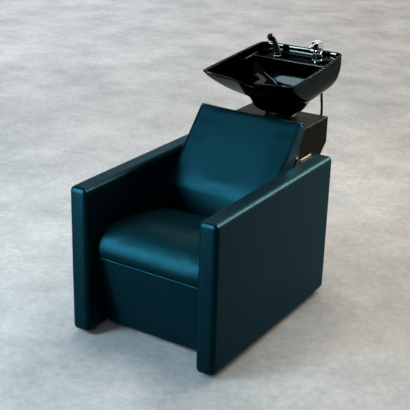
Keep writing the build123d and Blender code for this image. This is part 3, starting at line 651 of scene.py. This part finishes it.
def blown_up(work):
    """The mesh of an object after its cloth has been under pressure for some frames."""
    cloth = work.modifiers.new("cloth", "CLOTH")
    cloth.settings.quality = 5
    cloth.settings.mass = 0.3
    cloth.settings.vertex_group_mass = "held"
    cloth.settings.use_pressure = True
    cloth.settings.uniform_pressure_force = PRESSURE
    cloth.settings.effector_weights.gravity = 0
    cloth.point_cache.frame_start = 1
    cloth.point_cache.frame_end = CLOTH_FRAMES
    for frame_number in range(1, CLOTH_FRAMES + 1):
        bpy.context.scene.frame_set(frame_number)
    swollen = evaluated_mesh(work)
    work.modifiers.clear()
    return swollen


def puffed(piece, held, limit, cap):
    """Blows a closed cover up as cloth; held says which points stay.

    No point moves further than cap or ends further than limit from the middle plane.
    """
    work = bpy.data.objects.new(piece.name + "_cloth", piece.data.copy())
    bpy.context.scene.collection.objects.link(work)
    remesh = work.modifiers.new("remesh", "REMESH")
    remesh.mode = "VOXEL"
    remesh.voxel_size = VOXEL
    work.data = evaluated_mesh(work)
    work.modifiers.clear()
    start = [vert.co.copy() for vert in work.data.vertices]
    group = work.vertex_groups.new(name="held")
    group.add([i for i, place in enumerate(start) if held(place)], 1.0, "REPLACE")
    swollen = blown_up(work)
    moves = [vert.co - place for vert, place in zip(swollen.vertices, start)]
    moves = [move * min(1, cap / max(move.length, 1e-9)) for move in moves]
    for _ in range(SMOOTHING):
        moves = smoothed(swollen, moves)
    for vert, place, move in zip(swollen.vertices, start, moves):
        vert.co = place + move
        vert.co.x = min(max(vert.co.x, -limit), limit)
    work.data = swollen
    smoother = work.modifiers.new("smoother", "SUBSURF")
    smoother.levels = 1
    smoother.render_levels = 1
    final = evaluated_mesh(work)
    final.shade_smooth()
    final.materials.clear()
    final.materials.append(piece.data.materials[0])
    piece.data = final
    bpy.data.objects.remove(work)
    bpy.context.scene.frame_set(1)


# Seat cushion, from side-view outlines along the seat

SEAT_HALF = 0.252
SEAT_CENTRE = Vector((0.29, 0.38))
# the cushions get a small crown from their shape before the cloth pass swells them
SEAT_CROWN = 0.002
SEAT_CAP = 0.010
SEAT_PROFILE = [
    (0.068, 0.338), (0.056, 0.351), (0.0505, 0.373), (0.0520, 0.396), (0.0590, 0.418),
    (0.072, 0.436), (0.092, 0.450), (0.120, 0.458), (0.160, 0.461), (0.210, 0.458),
    (0.270, 0.451), (0.340, 0.440), (0.420, 0.425), (0.500, 0.409), (0.524, 0.402),
    (0.526, 0.350), (0.526, 0.304), (0.400, 0.312), (0.240, 0.323), (0.100, 0.334),
]
STATIONS = 64


def smooth_loop(points, count):
    """count points evenly along a closed Catmull-Rom curve through the given points."""
    fine = []
    total = len(points)
    between = 12
    for i in range(total):
        p0, p1, p2, p3 = [Vector(points[(i + k) % total]) for k in (-1, 0, 1, 2)]
        for j in range(between):
            t = j / between
            a = 2 * p1
            b = p2 - p0
            c = 2 * p0 - 5 * p1 + 4 * p2 - p3
            d = -p0 + 3 * p1 - 3 * p2 + p3
            fine.append((a + b * t + c * t * t + d * t * t * t) / 2)
    lengths = [0]
    for one, two in zip(fine, fine[1:] + fine[:1]):
        lengths.append(lengths[-1] + (two - one).length)
    result = []
    place = 0
    for k in range(count):
        target = lengths[-1] * k / count
        while lengths[place + 1] < target:
            place += 1
        share = (target - lengths[place]) / (lengths[place + 1] - lengths[place])
        one = fine[place]
        two = fine[(place + 1) % len(fine)]
        result.append(one.lerp(two, share))
    return result


def drawn_toward(centre, place, distance):
    """A side-view place moved toward a centre by a distance."""
    toward = centre - place
    return place + toward.normalized() * min(distance, toward.length)


def make_seat():
    outline = smooth_loop(SEAT_PROFILE, 160)
    sections = []
    for k in range(STATIONS + 1):
        s = -math.cos(math.pi * k / STATIONS)
        x = s * (SEAT_HALF - 0.001)
        edge = abs(s)
        # the cover is drawn in over its last few millimetres and crowned over its middle
        draw_in = 0.020 * max(0, (edge - 0.93) / 0.07) ** 2.2
        crown = SEAT_CROWN * (1 - edge ** 2.4)
        row = []
        for y, z in outline:
            place = drawn_toward(SEAT_CENTRE, Vector((y, z)), draw_in)
            if z > 0.36:
                place.y += crown * min(1, (z - 0.36) / 0.06)
            row.append(Vector((x, across(place.x), place.y)))
        sections.append(row)
    seat = lofted("seat_upholstery", sections, "leatherette")
    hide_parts("seat_cushion")

    def held(place):
        y = place.y + MIDDLE_Y
        underneath = place.z < 0.345 - 0.07 * (y - 0.06)
        return underneath or y > 0.515 or abs(place.x) > SEAT_HALF - 0.004

    puffed(seat, held, SEAT_HALF, SEAT_CAP)


make_seat()


WELT_RADIUS = 0.0040
WELT_PLACE = (0.0625, 0.3365)
WELT_STATIONS = 60
WELT_SIDES = 12


def make_welt():
    """A piped seam where the seat cover meets the kick panel."""
    half = SEAT_HALF - 0.002
    y, z = WELT_PLACE
    rows = []
    for k in range(WELT_STATIONS + 1):
        x = -half + 2 * half * k / WELT_STATIONS
        radius = WELT_RADIUS * (0.3 if k in (0, WELT_STATIONS) else 1)
        row = []
        for i in range(WELT_SIDES):
            turn = 2 * math.pi * i / WELT_SIDES
            row.append((x, across(y) + radius * math.cos(turn), z + radius * math.sin(turn)))
        rows.append(row)
    lofted("seat_welt", rows, "leatherette")


make_welt()


# Kick panel under the seat

KICK_TOP = (0.066, 0.333)
KICK_BOTTOM = (0.128, 0.024)
KICK_ROUND = 0.0045
KICK_CROWN = 0.0008


def make_kick_panel():
    def lean(point):
        share = (KICK_TOP[1] - point.z) / (KICK_TOP[1] - KICK_BOTTOM[1])
        return Vector((point.x, point.y + (KICK_BOTTOM[0] - KICK_TOP[0]) * share, point.z))

    low = (-SEAT_HALF, across(KICK_TOP[0] + 0.001), KICK_BOTTOM[1])
    high = (SEAT_HALF, across(KICK_TOP[0] + 0.0125), KICK_TOP[1] - 0.001)
    panel = padded_slab("kick_upholstery", low, high, KICK_ROUND, KICK_CROWN, shape=lean)
    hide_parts("kick_cover")


make_kick_panel()


# Backrest

BACK_HALF = 0.246
BACK_CENTRE = Vector((0.70, 0.60))
BACK_FACE_PLACE = Vector((0.700, 0.625))
BACK_FACE_OUT = Vector((-0.74, 0.67))
BACK_CROWN = 0.003
BACK_CAP = 0.008
BACK_PROFILE = [
    (0.532, 0.332), (0.531, 0.400), (0.5305, 0.450), (0.5315, 0.485), (0.5355, 0.508),
    (0.546, 0.525), (0.564, 0.543), (0.604, 0.585), (0.652, 0.637), (0.701, 0.692),
    (0.750, 0.746), (0.782, 0.782), (0.793, 0.794), (0.803, 0.800), (0.813, 0.799),
    (0.830, 0.788), (0.848, 0.775), (0.846, 0.765), (0.800, 0.692), (0.730, 0.582),
    (0.660, 0.472), (0.612, 0.394), (0.610, 0.333), (0.572, 0.331),
]


def make_back():
    outline = smooth_loop(BACK_PROFILE, 200)
    sections = []
    fade = 0.03
    for k in range(STATIONS + 1):
        s = -math.cos(math.pi * k / STATIONS)
        x = s * (BACK_HALF - 0.001)
        edge = abs(s)
        draw_in = 0.010 * max(0, (edge - 0.95) / 0.05) ** 2.4
        crown = BACK_CROWN * (1 - edge ** 2.6)
        row = []
        for y, z in outline:
            place = drawn_toward(BACK_CENTRE, Vector((y, z)), draw_in)
            front = (place - BACK_FACE_PLACE).dot(BACK_FACE_OUT) + fade
            height = min(max((z - 0.42) / 0.40, 0), 1)
            if front > 0:
                rise = crown * math.sin(math.pi * height) * min(1, front / fade)
                place += BACK_FACE_OUT * rise
            row.append(Vector((x, across(place.x), place.y)))
        sections.append(row)
    back = lofted("back_upholstery", sections, "leatherette")
    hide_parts("back_cushion")

    def held(place):
        side_view = Vector((place.y + MIDDLE_Y, place.z))
        behind = (side_view - BACK_FACE_PLACE).dot(BACK_FACE_OUT) < -0.045
        return behind or place.z < 0.345 or abs(place.x) > BACK_HALF - 0.004

    puffed(back, held, BACK_HALF, BACK_CAP)


make_back()


PIPING_RADIUS = 0.0024
PIPING_X = 0.2424
PIPING_INWARD = 0.0018


def make_back_piping():
    """A thin piped seam down each side of the backrest's face and over its top."""
    for side, name in ((-1, "left_back_piping"), (1, "right_back_piping")):
        route = []
        for y, z in BACK_PROFILE[1:17]:
            place = drawn_toward(BACK_CENTRE, Vector((y, z)), PIPING_INWARD)
            route.append((side * PIPING_X, across(place.x), place.y))
        tube(name, route, PIPING_RADIUS, "leatherette", "base", order=4, steps=6, sides=4)


make_back_piping()


# Basin bowl, with its eased edges shaded round

def make_bowl():
    mesh_bm = bmesh.new()
    mesh_bm.from_mesh(nodes["basin_bowl"].data)
    bowl = finish_mesh("basin_glaze", mesh_bm, "basin", "ceramic")
    bowl.data.set_sharp_from_angle(angle=math.radians(52))
    weighted = bowl.modifiers.new("weighted", "WEIGHTED_NORMAL")
    weighted.keep_sharp = True
    weighted.weight = 90
    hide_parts("basin_bowl")


make_bowl()


# Rubber boot between the housing's collar and the plate under the bowl

PIVOT_Y = 1.076934
COLLAR_TOP = 0.7405
DRAIN_V = 305.0
PLATE_BELOW = -227.2
BOOT_RADIUS = 0.0695
BOOT_WALL = 0.0015
BOOT_OUTLINE = [(0, 0), (0.22, 0.0022), (0.5, 0.0034), (0.78, 0.0022), (1, 0)]
BOOT_STEPS = 96


def make_boot():
    inner = [(share, bulge - BOOT_WALL) for share, bulge in reversed(BOOT_OUTLINE)]
    middle = across(PIVOT_Y)
    rows = []
    for k in range(BOOT_STEPS):
        turn = 2 * math.pi * k / BOOT_STEPS
        out = Vector((math.cos(turn), math.sin(turn), 0))
        low = Vector((0, middle, COLLAR_TOP)) + out * BOOT_RADIUS
        reach = BOOT_RADIUS * 1000 * out
        high = basin_point(reach.x, DRAIN_V + reach.y, PLATE_BELOW)
        rows.append([low.lerp(high, share) + out * bulge for share, bulge in BOOT_OUTLINE + inner])
    boot = ringed("neck_boot", rows, "foot_plastic", None)
    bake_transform(boot)


make_boot()


# Rings where the fittings meet the deck

FITTING_V = 450
FITTING_HALF_SPACING = 102.5
DECK_DROP = 38.0
RING_STEPS = 64
RING_SIDES = 10


def make_ring(name, fitting_u, radius, thickness, slot):
    """A round ring that lies on the deck around a fitting."""
    rows = []
    for k in range(RING_STEPS):
        turn = 2 * math.pi * k / RING_STEPS
        row = []
        for i in range(RING_SIDES):
            around = 2 * math.pi * i / RING_SIDES
            reach = radius + thickness * math.cos(around)
            rise = thickness * (1 + math.sin(around)) - DECK_DROP
            u = fitting_u + reach * math.cos(turn)
            v = FITTING_V + reach * math.sin(turn)
            row.append(basin_point(u, v, rise))
        rows.append(row)
    ringed(name, rows, slot, "basin")


make_ring("socket_ring", -FITTING_HALF_SPACING, 21.6, 1.7, "chrome")
make_ring("tap_gasket", FITTING_HALF_SPACING, 22.6, 1.2, "foot_plastic")


# Shower hose

HOSE_DIAMETER = 0.011
OUTLET_U = 130
HOSE_MIDDLE = [
    (0.131, 1.215, 0.800), (0.137, 1.216, 0.745), (0.136, 1.215, 0.690), (0.131, 1.214, 0.634),
    (0.118, 1.214, 0.580), (0.093, 1.216, 0.532), (0.052, 1.218, 0.502), (0.004, 1.220, 0.494),
    (-0.043, 1.219, 0.507), (-0.082, 1.217, 0.541), (-0.106, 1.216, 0.590),
    (-0.117, 1.215, 0.645), (-0.119, 1.215, 0.702), (-0.114, 1.216, 0.758),
]


def make_hose():
    """The hose from the tap's outlet in one hanging loop up to the guide under the shower."""
    start = basin_point(OUTLET_U, FITTING_V, -104)
    start_below = basin_point(OUTLET_U, FITTING_V, -149)
    end_below = basin_point(-FITTING_HALF_SPACING, FITTING_V, -177)
    end = basin_point(-FITTING_HALF_SPACING, FITTING_V, -132)
    middle = [Vector((x, across(y), z)) for x, y, z in HOSE_MIDDLE]
    route = [start, start_below] + middle + [end_below, end]
    radius = HOSE_DIAMETER / 2
    hose = tube("shower_hose_line", route, radius, "hose", "basin", order=3, steps=12, sides=6)
    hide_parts("shower_hose")


make_hose()


# Floor and light

FLOOR_DARK = (0.50, 0.505, 0.505)
FLOOR_LIGHT = (0.72, 0.715, 0.70)
# painted window light on the floor: brighter and bluer on the window side, dimmer and warmer away
# from it
FLOOR_PAINTED_WINDOW_LIGHT = (1.18, 1.25, 1.31)
FLOOR_PAINTED_WARM_SHADE = (0.93, 0.89, 0.85)
FLOOR_HALF = 60


def concrete_colour_and_painted_light(tree, place, grit):
    """Soft mottling and grit, with painted window light: brighter and cooler toward the window's
    side, dimmer and warmer away from it.
    """
    clouds = spread(tree, noise(tree, place, 2.2, 9, 0.72), 0, 1, 0.36, 0.64)
    colour = mix_colours(tree, clouds, FLOOR_DARK, FLOOR_LIGHT)
    speckled = multiply_colours(tree, colour, spread(tree, grit, 0.78, 1.1), 0.8)
    aside = tree.nodes.new("ShaderNodeVectorMath")
    aside.operation = "DOT_PRODUCT"
    aside.inputs[1].default_value = (0.85, 0.53, 0)
    tree.links.new(place, aside.inputs[0])
    across_room = spread(tree, aside.outputs["Value"], 0, 1, -1.6, 1.6)
    tint = mix_colours(tree, across_room, FLOOR_PAINTED_WINDOW_LIGHT, FLOOR_PAINTED_WARM_SHADE)
    return multiply_colours(tree, speckled, tint, 1.0)


def far_share(tree, place):
    """How much of the floor is seen at an even brightness: more in the distance."""
    distance = tree.nodes.new("ShaderNodeVectorMath")
    distance.operation = "LENGTH"
    tree.links.new(place, distance.inputs[0])
    seen = tree.nodes.new("ShaderNodeLightPath")
    glossy, through = seen.outputs["Is Glossy Ray"], seen.outputs["Is Transmission Ray"]
    mirrored = calculate(tree, "ADD", glossy, through)
    looked_at = calculate(tree, "ADD", seen.outputs["Is Camera Ray"], mirrored, clamp=True)
    far_off = spread(tree, distance.outputs["Value"], 0, 0.9, 1.4, 4.5)
    return calculate(tree, "MULTIPLY", far_off, looked_at)


def concrete():
    """Pale power-floated concrete that stays pale in the distance."""
    material, tree, shader = new_material("concrete")
    place = object_place(tree)
    grit = noise(tree, place, 30, 5, 0.75)
    # this colour carries the painted window light, into the lit floor and its far glow
    colour = concrete_colour_and_painted_light(tree, place, grit)
    tree.links.new(colour, shader.inputs["Base Color"])
    tree.links.new(spread(tree, noise(tree, place, 5, 5), 0.60, 0.78), shader.inputs["Roughness"])
    bump(tree, shader, grit, 0.002, 0.15)
    shader.inputs["Specular IOR Level"].default_value = 0.03
    far = tree.nodes.new("ShaderNodeEmission")
    tree.links.new(colour, far.inputs["Color"])
    far.inputs["Strength"].default_value = 0.95
    blend = tree.nodes.new("ShaderNodeMixShader")
    tree.links.new(far_share(tree, place), blend.inputs[0])
    tree.links.new(shader.outputs[0], blend.inputs[1])
    tree.links.new(far.outputs[0], blend.inputs[2])
    tree.links.new(blend.outputs[0], tree.nodes["Material Output"].inputs["Surface"])
    return material


def make_floor():
    mesh_bm = bmesh.new()
    bmesh.ops.create_grid(mesh_bm, x_segments=8, y_segments=8, size=FLOOR_HALF)
    data = bpy.data.meshes.new("floor")
    mesh_bm.to_mesh(data)
    mesh_bm.free()
    floor = bpy.data.objects.new("floor", data)
    bpy.context.scene.collection.objects.link(floor)
    data.materials.append(concrete())


def area_light(name, place, target, size, energy, colour, sheen_only=False):
    data = bpy.data.lights.new(name, "AREA")
    data.shape = "RECTANGLE"
    data.size, data.size_y = size
    data.energy = energy
    data.color = colour
    light = bpy.data.objects.new(name, data)
    bpy.context.scene.collection.objects.link(light)
    light.location = place
    light.visible_diffuse = not sheen_only
    toward = Vector(target) - Vector(place)
    light.rotation_euler = toward.to_track_quat("-Z", "Y").to_euler()
    return light


CHAIR = (0, 0, 0.6)
CHAIR_HIGH = (0, 0, 0.75)
BLUE = (0.66, 0.88, 1.0)
WARM = (1.0, 0.84, 0.62)
LEFT = (-1.9, -3.1, 2.5)
LEFT_LOW = (-2.0, -3.5, 0.75)
REAR = (1.5, 3.4, 2.4)
WALL = (-2.0, 3.9, 2.0)


def make_light():
    """Soft lamps, and brighter copies of the windows that only glossy surfaces see."""
    world = bpy.data.worlds.new("studio")
    bpy.context.scene.world = world
    world.use_nodes = True
    background = world.node_tree.nodes["Background"]
    background.inputs["Color"].default_value = (0.86, 0.93, 1.0, 1)
    background.inputs["Strength"].default_value = 0.22
    area_light("window_left", LEFT, CHAIR, (1.3, 1.6), 90, BLUE)
    area_light("window_left_sheen", LEFT, CHAIR, (1.0, 1.4), 780, BLUE, sheen_only=True)
    area_light("window_low_sheen", LEFT_LOW, CHAIR_HIGH, (0.6, 1.4), 290, BLUE, sheen_only=True)
    area_light("window_rear", REAR, CHAIR, (1.1, 1.6), 40, WARM)
    area_light("window_rear_sheen", REAR, CHAIR, (0.5, 0.7), 1200, WARM, sheen_only=True)
    area_light("wall_left", WALL, CHAIR, (2.4, 1.8), 8, (1.0, 0.96, 0.88))
    area_light("wall_left_sheen", WALL, CHAIR, (1.6, 1.2), 220, (1.0, 0.90, 0.74), sheen_only=True)
    area_light("overhead", (-0.3, 1.2, 4.2), CHAIR, (3.0, 3.0), 105, (1.0, 0.97, 0.93))


make_floor()
make_light()
bpy.context.scene.view_settings.view_transform = "Standard"
